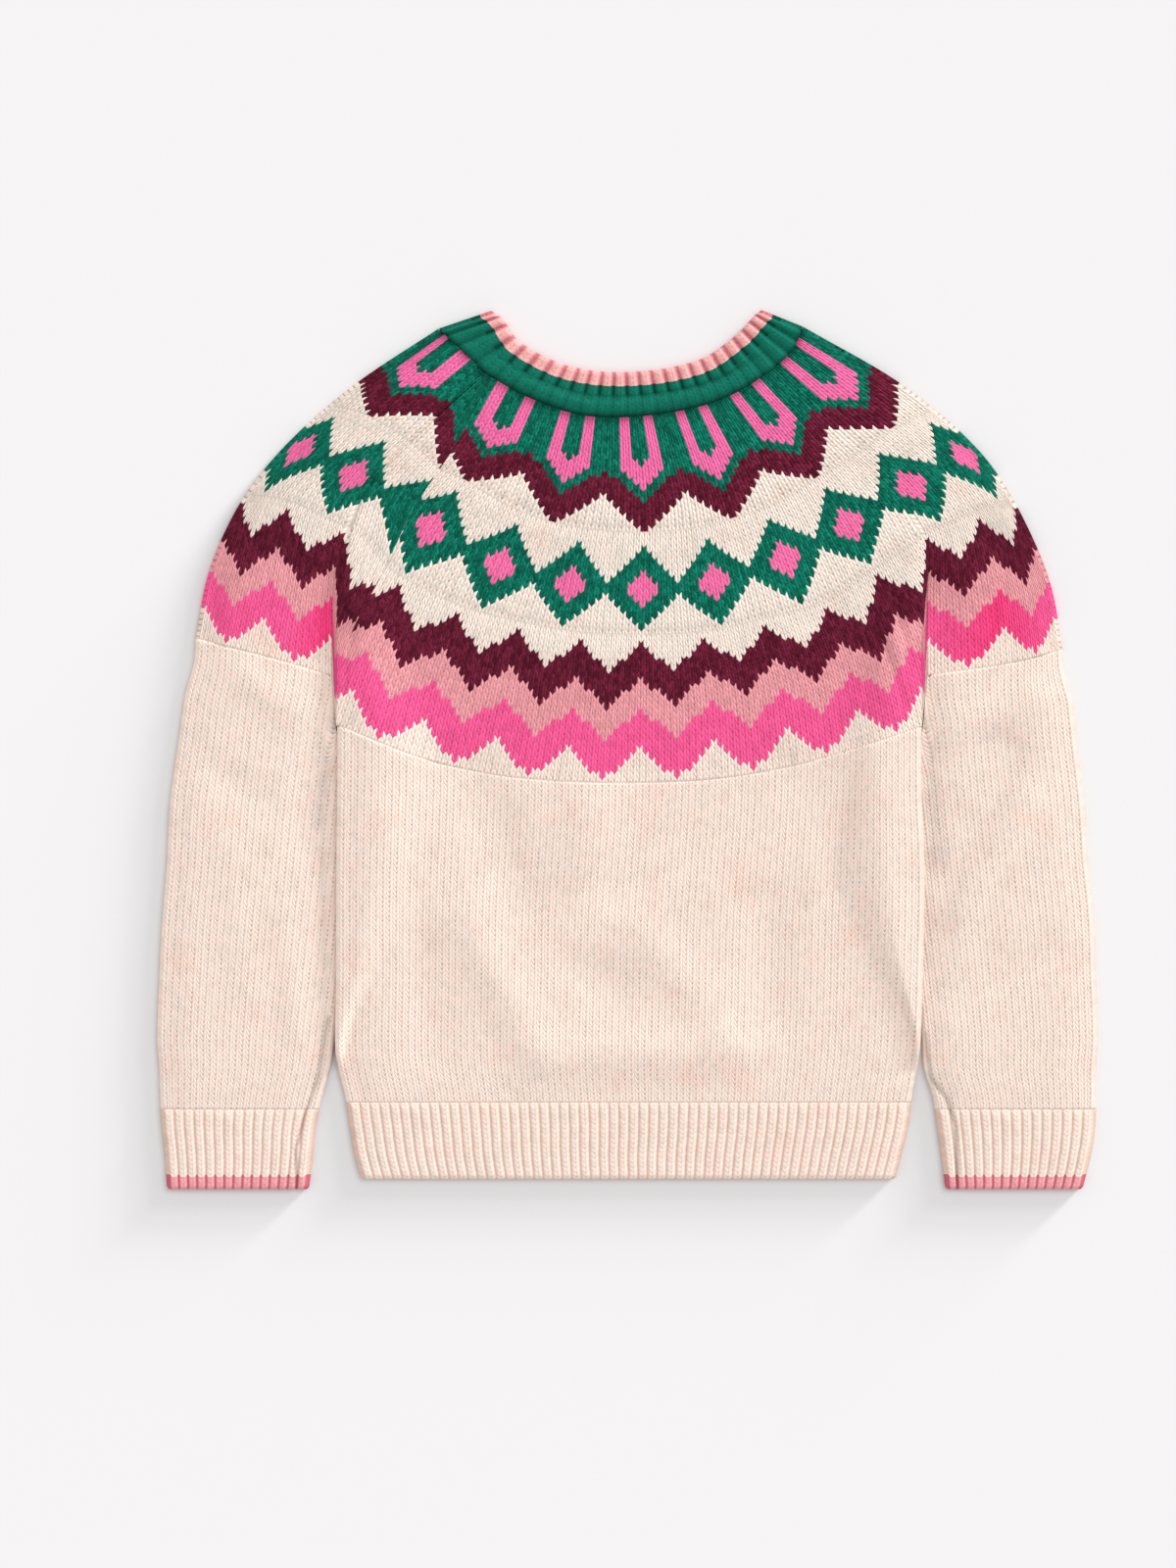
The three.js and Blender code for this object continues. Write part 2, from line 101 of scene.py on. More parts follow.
# The strip's two ends meet on the left of the back, where their patterns don't match. The left
# end keeps its own spokes up to there. Under the front the strip runs through.
LEFT_END_SPOKES = LEFT_SPOKES[:2] + [
    (-5, (-85, 224.6), (-116.9, 196.9), (-154.3, 159), (-167, 129.8), (-188, 83), (-204.5, 37.6)),
    (-4, (-79, 220.2), (-101.2, 178.8), (-128, 141.5), (-142.6, 102.4), (-163.6, 59.8), (-172.4, 13.1)),
]
FRONT_SPOKES = [
    (-5, (-84.5, 224.2), (-113, 192), (-150, 156), (-167.5, 126), (-191, 79.6), (-215, 30.6)),
] + BODY_SPOKES[1:]
JOIN_LINE = [
    # row x      y      left end's spoke, right end's spoke, left end's spoke at the pleat
    (0, -80.8, 221.4, -4.2, -4.75, -4.9), (14, -103, 180, -4.09, -4.69, -4.9),
    (28, -128, 141.5, -4.0, -4.45, -4.9), (37, -145.5, 105.3, -4.11, -4.34, -4.9),
    (48, -166.5, 63.9, -4.1, -4.33, -4.35), (54, -172, 39, -4.1, -4.2, -4.13),
    (60, -172.5, 14, -4.0, -4.03, -4.03),
]
PLEAT_ROWS = [0, 28, 37, 48, 60]
PLEAT_LEFT = [4.9, 4.9, 4.9, 4.5, 4.03]
PLEAT_RIGHT = [4.9, 4.9, 4.87, 4.2, 3.86]
SPOKE_WIDTH = 41
NECK_TIP = [
    # spoke  x     y
    (-7, -80.2, 261.6), (-6, -72.5, 254), (-5, -63.9, 242.4), (-3, -35.3, 228.4), (0, 2.6, 224.9),
    (3, 42.3, 231.9), (5, 65, 247), (6, 73.2, 255.8), (7, 79, 262),
]
BODY_SIDES = [
    # y     left     right
    (30, -173.5, 175.2), (-20, -173.5, 175.2), (-57, -173.5, 177), (-137, -173.5, 175.5), (-176, -174, 174),
    (-190, -172.4, 172.4), (-207, -168.3, 169.5), (-225, -165.4, 167), (-242, -162.5, 163),
    (-256, -158.5, 159.5),
]
LEFT_SLEEVE = [
    # y     outer    inner
    (66, -257.5, -151), (38, -262.8, -151), (2.6, -268, -153.1), (-32, -272.7, -157.2), (-67, -274.5, -161.5),
    (-102, -277.4, -165.4), (-137, -279.1, -169.5), (-172, -280.3, -174.1), (-190, -279.1, -177),
    (-207, -278.6, -181.7), (-225, -277.4, -185.8), (-242, -275.6, -187.5), (-262, -274.4, -189.9),
]
RIGHT_SLEEVE = [
    (60, 259.3, 153), (38, 264, 153), (2.6, 268, 155.5), (-32, 272.1, 158.4), (-67, 274.5, 162.5),
    (-102, 278, 166.5), (-137, 279.1, 171.2), (-172, 280.3, 175.3), (-190, 279.1, 176.5),
    (-207, 279.1, 181.7), (-225, 278.6, 184.6), (-242, 276, 187), (-262, 271, 189.3),
]
# Seam under each arm, from where it comes round the sleeve's inner edge down to the wrist.
ARM_SEAMS = {
    -1: [(-178.2, -160.1), (-184.1, -193.4), (-192.2, -216.7), (-198, -238.9), (-196.9, -263)],
    1: [(176.5, -169.5), (180.6, -196.3), (189.9, -208), (195.1, -224.3), (196.3, -263)],
}
# Hollows where little light comes in: both ends, half width and how much darker they are.
HOLLOWS = [
    # x0     y0      x1     y1     width  depth
    (181, -30, 187, -66, 8, 0.16), (181, -60, 178, -130, 3.5, 0.1), (194, -24, 206, -40, 8, 0.06),
    (-178, -6, -184, -44, 4, 0.12), (-183, -60, -181, -130, 3, 0.08), (179, 20, 181, -20, 3, 0.08),
]
# Creases of the upper layer: both ends, half width and height. A trough's height is negative.
CREASE_DEPTH = 1.9
CREASES = [
    # x0     y0      x1     y1     width  height
    (-95, -15, -64, -92, 17, -1.1), (88, -12, -6, -84, 15, -1.5), (-30, -131, -10, -143, 15, -1.1),
    (134, -5, 122, -80, 9, -0.6), (82, -97, 84, -180, 16, -0.9), (-122, -120, -118, -178, 13, -0.7),
    (-23, -22, -23, -66, 19, 1.0), (-93, -106, -60, -172, 15, 1.1), (-47, -184, 82, -178, 15, 1.2),
    (6, -104, 58, -168, 14, 0.8), (-140, -40, -138, -118, 10, 0.4), (40, -95, 96, -60, 12, 0.5),
    (180, -76, 222, -4, 14, -2.2), (180, 4, 240, 33, 11, 1.0), (196, -96, 238, -32, 11, 1.0),
    (200, -150, 250, -118, 12, -0.7), (-178, 4, -191, -52, 12, -1.5), (-228, 44, -196, 22, 12, 0.8),
    (-236, -60, -226, -142, 13, 0.5), (-250, -10, -214, -34, 10, -0.5), (-205, -96, -196, -168, 9, 0.5),
    (-164, 70, -171, 37, 3.2, -1.0), (158, 92, 170, 46, 3.4, -0.9), (150, 70, 166, 22, 3.4, -0.6),
    (-232, 128, -196, 108, 9, -0.6), (214, 128, 240, 104, 9, -0.6), (-150, 168, -196, 190, 8, 0.5),
    (150, 176, 196, 196, 8, 0.5), (-60, 60, 20, 52, 9, 0.4), (60, 60, 120, 82, 8, -0.4),
]


def mix(a, b, t):
    return a + (b - a) * t


def ease(a, b, t):
    s = np.clip((np.asarray(t, float) - a) / (b - a), 0, 1)
    return s * s * (3 - 2 * s)


def through(keys, values, t):
    """Smooth curve through values at keys. values may hold an array for each key."""
    keys = np.asarray(keys, float)
    values = np.asarray(values, float)
    if keys[0] > keys[-1]:
        keys, values = keys[::-1], values[::-1]
    t = np.asarray(t, float)
    i = np.clip(np.searchsorted(keys, t, side="right") - 1, 0, len(keys) - 2)
    low = np.maximum(np.arange(len(keys)) - 1, 0)
    high = np.minimum(np.arange(len(keys)) + 1, len(keys) - 1)
    run = (keys[high] - keys[low]).reshape((-1,) + (1,) * (values.ndim - 1))
    slope = (values[high] - values[low]) / run
    h = keys[i + 1] - keys[i]
    s = (t - keys[i]) / h
    if values.ndim > 1:
        columns = np.arange(values.shape[1])
        a, b, sa, sb = values[i, columns], values[i + 1, columns], slope[i, columns], slope[i + 1, columns]
    else:
        a, b, sa, sb = values[i], values[i + 1], slope[i], slope[i + 1]
    s2, s3 = s * s, s * s * s
    start = (2 * s3 - 3 * s2 + 1) * a + (s3 - 2 * s2 + s) * h * sa
    return start + (3 * s2 - 2 * s3) * b + (s3 - s2) * h * sb


def look_up(table, index, t):
    return through([row[0] for row in table], [row[index] for row in table], t)


def on_spokes(table, spoke, row):
    """Places (x, y) for matching arrays of spokes and rows."""
    spoke, row = np.broadcast_arrays(np.asarray(spoke, float), np.asarray(row, float))
    shape = spoke.shape
    spoke, row = spoke.ravel(), row.ravel()
    keys = [line[0] for line in table]
    out = []
    for axis in (0, 1):
        lines = [through(LEVELS, [p[axis] for p in line[1:]], row) for line in table]
        out.append(through(keys, np.array(lines), spoke).reshape(shape))
    return out


def pleat_spoke(side, row):
    return side * through(PLEAT_ROWS, PLEAT_LEFT if side < 0 else PLEAT_RIGHT, row)


def shoulder_out(side, row):
    table = LEFT_SPOKES if side < 0 else RIGHT_SPOKES
    row = np.asarray(row, float)
    ax, ay = on_spokes(table, 7 * side, np.maximum(row - 2, 0))
    bx, by = on_spokes(table, 7 * side, np.minimum(row + 2, YOKE_ROWS))
    length = np.hypot(bx - ax, by - ay)
    return side * (ay - by) / length, side * (bx - ax) / length


def sleeve_place(side, spoke, row):
    x, y = on_spokes(LEFT_SPOKES if side < 0 else RIGHT_SPOKES, spoke, row)
    out_x, out_y = shoulder_out(side, row)
    inset = OUTER * np.clip((np.abs(spoke) - 6.5) / 0.5, 0, 1)
    return x - out_x * inset, y - out_y * inset


def front_drop(spoke, row):
    return FRONT_DROP * (1 - row / YOKE_ROWS) ** 2 * np.cos(math.pi * spoke / 14) ** 2


def yoke_lift(row, inside):
    """Rise over the pleat, from how far inside the body's edge a place lies."""
    start = 30
    flat = 21 * np.clip((row - start) / (YOKE_ROWS - start), 0, 1)
    return LIFT * ease(start, YOKE_ROWS - 6, row) * (1 - ease(0, BACK_FALL, inside - flat))


def body_lift(x, y, fall):
    fall = mix(4.5, fall, ease(-176, -60, y))
    start = mix(3, 7, ease(-176, -120, y))
    left = ease(0, 1, (look_up(LEFT_SLEEVE, 2, y) - x + start + fall) / fall)
    right = ease(0, 1, (x - look_up(RIGHT_SLEEVE, 2, y) + start + fall) / fall)
    return LIFT * np.maximum(left, right)


# Upper layer: it stands a little proud of the wall below, in soft creases.

def to_segment(x, y, x0, y0, x1, y1):
    """Distance to a segment, and the place along it from 0 to 1."""
    run = (x1 - x0) ** 2 + (y1 - y0) ** 2
    t = np.clip(((x - x0) * (x1 - x0) + (y - y0) * (y1 - y0)) / run, 0, 1)
    return np.hypot(x - x0 - t * (x1 - x0), y - y0 - t * (y1 - y0)), t


def swell(x, y, edge):
    """Height of the upper layer over the plain wall. edge is the distance to its nearest edge."""
    height = DOME + 0 * x
    for x0, y0, x1, y1, width, rise in CREASES:
        away, t = to_segment(x, y, x0, y0, x1, y1)
        along = 0.65 + 0.35 * np.sin(math.pi * (0.1 + 0.8 * t))
        height = height + CREASE_DEPTH * rise * np.exp(-(away / width) ** 2) * along
    height = np.where(height > 0.4, height, 0.4 * np.exp((height - 0.4) / 0.4))
    return height * (1 - np.exp(-(np.maximum(edge, 0) / EDGE_ROUND) ** 2))


def hollow_shade(x, y):
    shade = 1 + 0 * x
    for x0, y0, x1, y1, width, depth in HOLLOWS:
        away, _ = to_segment(x, y, x0, y0, x1, y1)
        shade = shade * (1 - depth * np.exp(-(away / width) ** 2))
    return shade


def seam_groove(x, y):
    """How deep a place lies in the seam under an arm: 1 in the seam, and 0 away from it."""
    deep = 0 * x
    for line in ARM_SEAMS.values():
        for (x0, y0), (x1, y1) in zip(line, line[1:]):
            away, _ = to_segment(x, y, x0, y0, x1, y1)
            deep = np.maximum(deep, np.exp(-(away / 1.3) ** 2))
    return deep


# Height of a V stitch over its wall: two slanted legs, which share a tip at the bottom.
LEG_RISE = 0.8
YOKE_RISE = 0.55


def stitch_height(across, down, rise=LEG_RISE):
    leg = np.abs(np.sin(2 * math.pi * across))
    slant = down - rise * (1 - 2 * np.abs(across % 1 - 0.5))
    return leg ** 0.7 * (0.4 + 0.6 * np.sin(math.pi * (slant % 1)))


def seam_fade(height, rows):
    """Evens out the stitches within a row of a seam, so that both sides meet at one height."""
    return mix(height, 0.72, np.exp(-(rows / 0.8) ** 2))


def rounded_end(left):
    """How far the outer face sinks within the last bit of cloth, left millimetres from its end."""
    return 1.1 * (1 - np.sqrt(1 - (1 - np.clip(left / 1.8, 0, 1)) ** 2))


LIT_SIDE = 0.38           # how much painted shade darkens a side face towards the low light
UNLIT_SIDE = 0.15         # and how much painted light lightens the side away from it


def shell(name, grid, uv, wrap=False, step=4, sewn=False):
    """Closed wall: a fine outer face, a coarser inner face and rims that join them. grid holds
    arrays of rows by columns: x, y, lift, out_x, out_y, angle and relief. Its half names a single
    layer, and shade holds the painted shade and painted light that the colour is multiplied by: 1 in
    the open, less in grooves and more where painted light is put. bare is 1 where the motifs have no
    pink. wrap closes the columns to a tube, and sewn closes them along an edge where the pattern jumps."""
    def surface(radius, relief):
        g = grid
        reach = (radius + relief) * np.sin(g["angle"])
        height = (radius + relief) * np.cos(g["angle"])
        if g.get("half") == "back":
            height = np.maximum(height, GAP / 2)
        if g.get("half") == "front":
            height = np.minimum(height, -GAP / 2)
        height = np.maximum(MIDDLE + height + g["lift"], 0)
        return np.stack([g["x"] + g["out_x"] * reach, g["y"] + g["out_y"] * reach, height], -1)

    outer = surface(OUTER, grid["relief"])
    inner = surface(INNER, 0 * grid["relief"])[::step, ::step]
    rows, columns = outer.shape[:2]
    inner_rows, inner_columns = inner.shape[:2]
    first_inner = rows * columns
    span = columns if wrap else columns - 1
    inner_span = inner_columns if wrap else inner_columns - 1

    def outer_id(r, c):
        return r * columns + c % columns

    def inner_id(r, c):
        return first_inner + r * inner_columns + c % inner_columns

    r, c = np.meshgrid(np.arange(rows - 1), np.arange(span), indexing="ij")
    quads = np.stack([outer_id(r, c), outer_id(r + 1, c), outer_id(r + 1, c + 1), outer_id(r, c + 1)], -1)
    faces = quads.reshape(-1, 4).tolist()
    r, c = np.meshgrid(np.arange(inner_rows - 1), np.arange(inner_span), indexing="ij")
    quads = np.stack([inner_id(r, c), inner_id(r, c + 1), inner_id(r + 1, c + 1), inner_id(r + 1, c)], -1)
    faces += quads.reshape(-1, 4).tolist()
    smooth = [True] * len(faces)
    for c in range(inner_span):
        fine = [c * step + k for k in range(step + 1)]
        faces.append([inner_id(0, c)] + [outer_id(0, f) for f in fine] + [inner_id(0, c + 1)])
        last = inner_rows - 1
        far = [outer_id(rows - 1, f) for f in fine[::-1]]
        faces.append([inner_id(last, c + 1)] + far + [inner_id(last, c)])
    if not wrap and not sewn:
        end = inner_columns - 1
        for r in range(inner_rows - 1):
            fine = [r * step + k for k in range(step + 1)]
            faces.append([inner_id(r + 1, 0)] + [outer_id(f, 0) for f in fine[::-1]] + [inner_id(r, 0)])
            far = [outer_id(f, columns - 1) for f in fine]
            faces.append([inner_id(r, end)] + far + [inner_id(r + 1, end)])
    smooth += [False] * (len(faces) - len(smooth))
    points = np.concatenate([outer.reshape(-1, 3), inner.reshape(-1, 3)]) * MM
    mesh = bpy.data.meshes.new(name)
    mesh.from_pydata(points.tolist(), [], faces)
    mesh.polygons.foreach_set("use_smooth", smooth)
    places = np.stack(np.broadcast_arrays(uv[0] + 0 * grid["x"], uv[1] + 0 * grid["x"]), -1)
    places = np.concatenate([places.reshape(-1, 2), places[::step, ::step].reshape(-1, 2)])
    layer = mesh.uv_layers.new(name="knit")
    corners = np.zeros(len(mesh.loops), int)
    mesh.loops.foreach_get("vertex_index", corners)
    layer.data.foreach_set("uv", places[corners].ravel())
    # Side faces towards the low light get painted shade, and those away from it painted light.
    facing = (grid["out_x"] + grid["out_y"]) * np.abs(np.sin(grid["angle"])) * math.sqrt(0.5)
    painted_side_light = 1 - np.where(facing > 0, LIT_SIDE, UNLIT_SIDE) * facing
    for key, value in (("shade", grid.get("shade", 1) * painted_side_light), ("bare", grid.get("bare", 0))):
        value = value + 0 * grid["x"]
        value = np.concatenate([value.ravel(), value[::step, ::step].ravel()])
        mesh.attributes.new(key, "FLOAT", "POINT").data.foreach_set("value", value)
    work = bmesh.new()
    work.from_mesh(mesh)
    if sewn:
        bmesh.ops.remove_doubles(work, verts=work.verts, dist=1e-6)
    bmesh.ops.recalc_face_normals(work, faces=work.faces)
    work.to_mesh(mesh)
    work.free()
    piece = bpy.data.objects.new(name, mesh)
    bpy.context.collection.objects.link(piece)
    return piece


def rising(count):
    return np.linspace(0, 1, count + 1)


def folds(back, front):
    """Shares and angles round a flat tube: upper layer, fold, lower layer, fold. The count of
    columns is made a multiple of 4 by leaving some out of the lower layer."""
    fold = np.array([1, 2, 3]) * math.pi / 4
    across = np.concatenate([back, [back[-1]] * 3, front, [back[0]] * 3])
    angles = np.concatenate([0 * back, fold, math.pi + 0 * front, fold[::-1]])
    spare = [len(back) + 5 + 3 * k for k in range(len(across) % 4)]
    return np.delete(across, spare)[None, :], np.delete(angles, spare)[None, :]


# Yoke

STITCH_PARTS = 4          # columns of the outer face to a stitch
ROW_PARTS = 2             # rows of the outer face to a knitted row
KNIT_RELIEF = 0.22
SEAM_LAP = 0.35           # how far a panel's top reaches up at the yoke's lower edge


def yoke_count(row):
    """Stitches to a spoke: 6, then 9, then 12 below the two rows where stitches are taken in."""
    return np.where(row < FIRST_DECREASE, 6, np.where(row < SECOND_DECREASE, 9, 12))


def yoke_edge(row, inside, outside):
    """Distance to the yoke's nearest edge, where inside and outside count from it across."""
    near = mix(FAR, inside, ease(28, 46, row))
    return np.minimum(np.minimum(near, outside), 3 + 2.2 * row)


def yoke_body(spoke, row, lying):
    """Between the pleats."""
    x, y = on_spokes(BODY_SPOKES if lying == "back" else FRONT_SPOKES, spoke, row)
    edge = np.where(spoke < 0, -pleat_spoke(-1, row), pleat_spoke(1, row))
    inside = (edge - np.abs(spoke)) * SPOKE_WIDTH
    if lying == "front":
        return x, y, 0 * x
    return x, y, yoke_lift(row, inside) + swell(x, y, yoke_edge(row, inside, FAR))


def yoke_sleeve(side, spoke, row, lying):
    """Past a pleat, on the sleeve's side."""
    x, y = sleeve_place(side, spoke, row)
    if lying == "front":
        return x, y, 0 * x
    width = mix(17, 41, row / YOKE_ROWS)
    reach = np.abs(spoke)
    return x, y, swell(x, y, yoke_edge(row, (reach - 5) * width, (7 - reach) * width))


def yoke_place(spoke, row, lying):
    """Place and lift anywhere but beside the join. Past the pleat's edge the cloth drops steeply."""
    x, y, lift = yoke_body(np.clip(spoke, -5, 5), row, lying)
    drape = np.zeros_like(x)
    for side in (-1, 1):
        edge = pleat_spoke(side, row)
        ex, ey, el = yoke_body(edge, row, lying)
        sx, sy, sl = yoke_sleeve(side, side * 5.0 + 0 * row, row, lying)
        t = np.clip((np.abs(spoke) - np.abs(edge)) / (5 - np.abs(edge)), 0, 1)
        between = (side * spoke > np.abs(edge)) & (side * spoke < 5)
        x = np.where(between, mix(ex, sx, t), x)
        y = np.where(between, mix(ey, sy, t), y)
        lift = np.where(between, mix(el, sl, ease(0, 1, t)), lift)
        drape = np.where(between, ease(28, 34, row), drape)
        past = side * spoke >= 5
        ox, oy, ol = yoke_sleeve(side, np.where(past, spoke, side * 5.0), row, lying)
        x = np.where(past, ox, x)
        y = np.where(past, oy, y)
        lift = np.where(past, ol, lift)
    if lying == "front":
        y = y - front_drop(spoke, row)
    return x, y, lift, drape


def join(index, row):
    return look_up(JOIN_LINE, index, row)


def yoke_left_end(row, parts):
    """The strip's left end: over the sleeve's top, up the pleat and along to the join."""
    pleat, last = join(5, row), join(3, row)
    ex, ey = on_spokes(LEFT_END_SPOKES, pleat, row)
    sx, sy, sl = yoke_sleeve(-1, -5.0 + 0 * row, row, "back")
    t = (np.arange(1, 7) / 7)[None, :]
    drop_lift = mix(yoke_lift(row, 0 * row), sl, 1 - ease(0, 1, t))
    drop = (mix(sx, ex, t), mix(sy, ey, t), drop_lift, mix(-5.0, pleat, t), ease(28, 34, row) + 0 * t)
    t = rising(parts)[None, :]
    u = mix(pleat, last, t)
    x, y = on_spokes(LEFT_END_SPOKES, u, row + 0 * u)
    lx, ly = on_spokes(LEFT_END_SPOKES, last, row)
    x = x + (join(1, row) - lx) * t
    y = y + (join(2, row) - ly) * t
    inside = np.hypot(join(1, row) - ex, join(2, row) - ey) * t
    lift = yoke_lift(row, inside) + swell(x, y, yoke_edge(row, inside, FAR))
    return drop, (x, y, lift, u, 0 * x)


def yoke_right_end(row, parts):
    """The other end: from the join to the fourth spoke."""
    first = join(4, row)
    t = (np.arange(parts) / parts)[None, :]
    u = mix(first, -4.0, t)
    x, y = on_spokes(BODY_SPOKES, u, row + 0 * u)
    fx, fy = on_spokes(BODY_SPOKES, first, row)
    x = x + (join(1, row) - fx) * (1 - t)
    y = y + (join(2, row) - fy) * (1 - t)
    ex, ey = on_spokes(LEFT_END_SPOKES, join(5, row), row)
    inside = np.hypot(join(1, row) - ex, join(2, row) - ey)
    fourth = (-pleat_spoke(-1, row) - 4) * SPOKE_WIDTH
    inside = mix(inside, fourth, t)
    return x, y, yoke_lift(row, inside) + swell(x, y, yoke_edge(row, inside, FAR)), u, 0 * x


def yoke_columns(rows):
    """Places and marks of all the columns, from the join round the yoke and back to the join."""
    fine = 1 / (12 * STITCH_PARTS)
    fold = np.array([1, 2, 3]) * math.pi / 4
    blocks = []

    def add(x, y, lift, u, drape, angle, knitted, bare=0):
        blocks.append([v + 0 * x for v in (x, y, lift, u, drape, angle, knitted, bare)])

    def add_spokes(spoke, lying, angle, knitted):
        x, y, lift, drape = yoke_place(spoke[None, :] + 0 * rows, rows + 0 * spoke[None, :], lying)
        add(x, y, lift, spoke[None, :], drape, angle, knitted)

    def add_fold(side, angles):
        for angle in angles:
            lying = "back" if angle < 2 else "front"
            add_spokes(np.array([7.0 * side]), lying, angle, 0)

    add(*yoke_right_end(rows, 36), 0.0, 1)
    add_spokes(np.arange(-4, 7 + fine / 2, fine), "back", 0.0, 1)
    add_fold(1, fold)
    add_spokes(np.linspace(7, -7, 57), "front", math.pi, 0)
    add_fold(-1, fold[::-1])
    add_spokes(np.arange(-7, -5 + fine / 2, fine), "back", 0.0, 1)
    drop, end = yoke_left_end(rows, 44)
    add(*drop, 0.0, 1)
    add(*end, 0.0, 1, 1)
    columns = [np.concatenate(parts, 1) for parts in zip(*blocks)]
    last = columns[0].shape[1] - 1
    keep = [c for c in range(last) if c < last - last % 4] + [last]
    return [column[:, keep] for column in columns]


def make_yoke():
    rows = np.linspace(0, YOKE_ROWS, YOKE_ROWS * ROW_PARTS + 1)[:, None]
    x, y, lift, u, drape, angle, knitted, bare = yoke_columns(rows)
    for value in (x, y, lift):
        value[:, -1] = value[:, 0]
    upper = angle < 0.1
    stitches = seam_fade(stitch_height(u * yoke_count(rows) + 0.5, rows, YOKE_RISE), YOKE_ROWS - rows)
    relief = KNIT_RELIEF * stitches * knitted * (1 - drape)
    pucker, gathered_shade = 0, 0
    for row in (FIRST_DECREASE, SECOND_DECREASE):
        pucker = pucker - 0.6 * np.exp(-((rows - row + 0.3) / 0.9) ** 2)
        pucker = pucker + 0.38 * np.exp(-((rows - row - 2.6) / 2.2) ** 2)
        gathered_shade = gathered_shade + np.exp(-((rows - row + 0.2) / 0.8) ** 2)
    relief = relief + pucker * (1 - 0.55 * ease(3, 6, np.abs(u))) * upper * (1 - drape)
    relief[:, -1] = relief[:, 0]
    out = [np.where(u > 0, a, b) for a, b in zip(shoulder_out(1, rows), shoulder_out(-1, rows))]
    # Painted shade darkens the neck seam and the two gathered rows. Painted light brightens the lower
    # seam, where the stitches above shade the last row, and the left pleat, which faces away from the
    # light. The right pleat gets a little painted shade.
    neck_seam_shade = 0.4 * np.exp(-(rows / 0.9) ** 2) * upper
    lower_seam_light = 0.12 * np.exp(-((YOKE_ROWS - rows) / 0.4) ** 2) * upper
    pleat = np.where(u < 0, 1 + 0.3 * drape * ease(38, 50, rows), 1 - 0.05 * drape)
    shade = (1 - neck_seam_shade + lower_seam_light - 0.1 * gathered_shade) * pleat
    grid = {"x": x, "y": y, "lift": lift, "relief": relief, "angle": angle, "shade": shade, "bare": bare,
            "out_x": out[0], "out_y": out[1]}
    return shell("yoke_cloth", grid, (u, rows), sewn=True)


# Body

def body_place(across, down, half):
    reach = np.where(across < 0, -pleat_spoke(-1, YOKE_ROWS), pleat_spoke(1, YOKE_ROWS))
    spoke = across * (reach - OUTER / SPOKE_WIDTH)
    top_x, top_y = on_spokes(BODY_SPOKES, spoke, YOKE_ROWS + 0 * spoke)
    y = mix(top_y, HEM_TOP, down)
    left = look_up(BODY_SIDES, 1, y) + OUTER
    right = look_up(BODY_SIDES, 2, y) - OUTER
    straight = mix(left, right, (across + 1) / 2)
    x = mix(np.clip(top_x, left, right), straight, ease(0, 0.5, down))
    if half == "front":
        return x, y, body_lift(x, y, LIFT_FALL)
    return x, y, body_lift(x, y, BACK_FALL) + body_swell(x, y, left - OUTER, right + OUTER)


def body_swell(x, y, left, right):
    """Swell of the body and of its hem rib, between its sides."""
    return swell(x, y, np.minimum(x - left, right - x)) * ease(HEM_END - 12, HEM_TOP + 30, y)


def make_body(half):
    knitted = half == "back"
    columns = BODY_STITCHES * (STITCH_PARTS if knitted else 1)
    count = 80 * (ROW_PARTS if knitted else 1)
    down = rising(count)[:, None]
    edge = np.array([3, 2, 1, 0]) * math.pi / 6
    across = np.concatenate([[-1] * 4, 2 * rising(columns)[1:-1] - 1, [1] * 4])
    angles = np.concatenate([edge, np.zeros(columns - 1), edge[::-1]])
    spare = [8 + k for k in range((len(across) - 1) % 4)]
    across, angles = np.delete(across, spare)[None, :], np.delete(angles, spare)[None, :]
    if half == "front":
        angles = math.pi - angles
    x, y, lift = body_place(across, down, half)
    y = y + SEAM_LAP * (down == 0)
    u = (across + 1) / 2 * BODY_STITCHES
    v = (YOKE_ROWS * ROW - y) / ROW
    relief = KNIT_RELIEF * seam_fade(stitch_height(u, v), down * 80) * knitted
    # Painted light: the rows just below the yoke's seam are made a little lighter.
    seam = np.exp(-((down * 80 - 0.4) / 0.9) ** 2) * knitted
    grid = {"x": x, "y": y, "lift": lift, "out_x": np.sign(across) + 0 * x, "out_y": 0 * x,
            "angle": angles + 0 * x, "relief": relief, "half": half, "shade": 1 + 0.04 * seam}
    return shell(f"{half}_cloth", grid, (u, v))


# Sleeves

SLEEVE_SHARES = [0, 0.17, 0.35, 0.55, 0.76]
SLEEVE_TOP_SPOKES = [7, 6.5, 6, 5.5, 5]
TUCK_SHARES = [0.8, 1]
TUCK_INWARD = [2.6, 24.2]
TUCK_Y = [9.6, 0.3]


def sleeve_at(side, share, down):
    """Place on a sleeve: share runs from its outer to its inner edge, and down from yoke to cuff."""
    table = LEFT_SLEEVE if side < 0 else RIGHT_SLEEVE
    spoke = side * through(SLEEVE_SHARES, SLEEVE_TOP_SPOKES, np.minimum(share, SLEEVE_SHARES[-1]))
    top_x, top_y = sleeve_place(side, spoke, YOKE_ROWS + 0 * spoke)
    corner_x, corner_y = sleeve_place(side, side * 5.0, float(YOKE_ROWS))
    t = np.clip((share - TUCK_SHARES[0]) / (TUCK_SHARES[1] - TUCK_SHARES[0]), 0, 1)
    bend = np.clip((share - SLEEVE_SHARES[-1]) / (TUCK_SHARES[0] - SLEEVE_SHARES[-1]), 0, 1)
    hidden = share > SLEEVE_SHARES[-1]
    tuck_x = mix(corner_x, corner_x - side * mix(TUCK_INWARD[0], TUCK_INWARD[1], t), bend)
    top_x = np.where(hidden, tuck_x, top_x)
    top_y = np.where(hidden, mix(corner_y, mix(TUCK_Y[0], TUCK_Y[1], t), bend), top_y)
    y = mix(top_y, CUFF_TOP, down)
    outer = look_up(table, 1, y) - side * OUTER
    inner = look_up(table, 2, y) + side * OUTER
    return mix(top_x, mix(outer, inner, share), ease(0, 0.12, down)), y


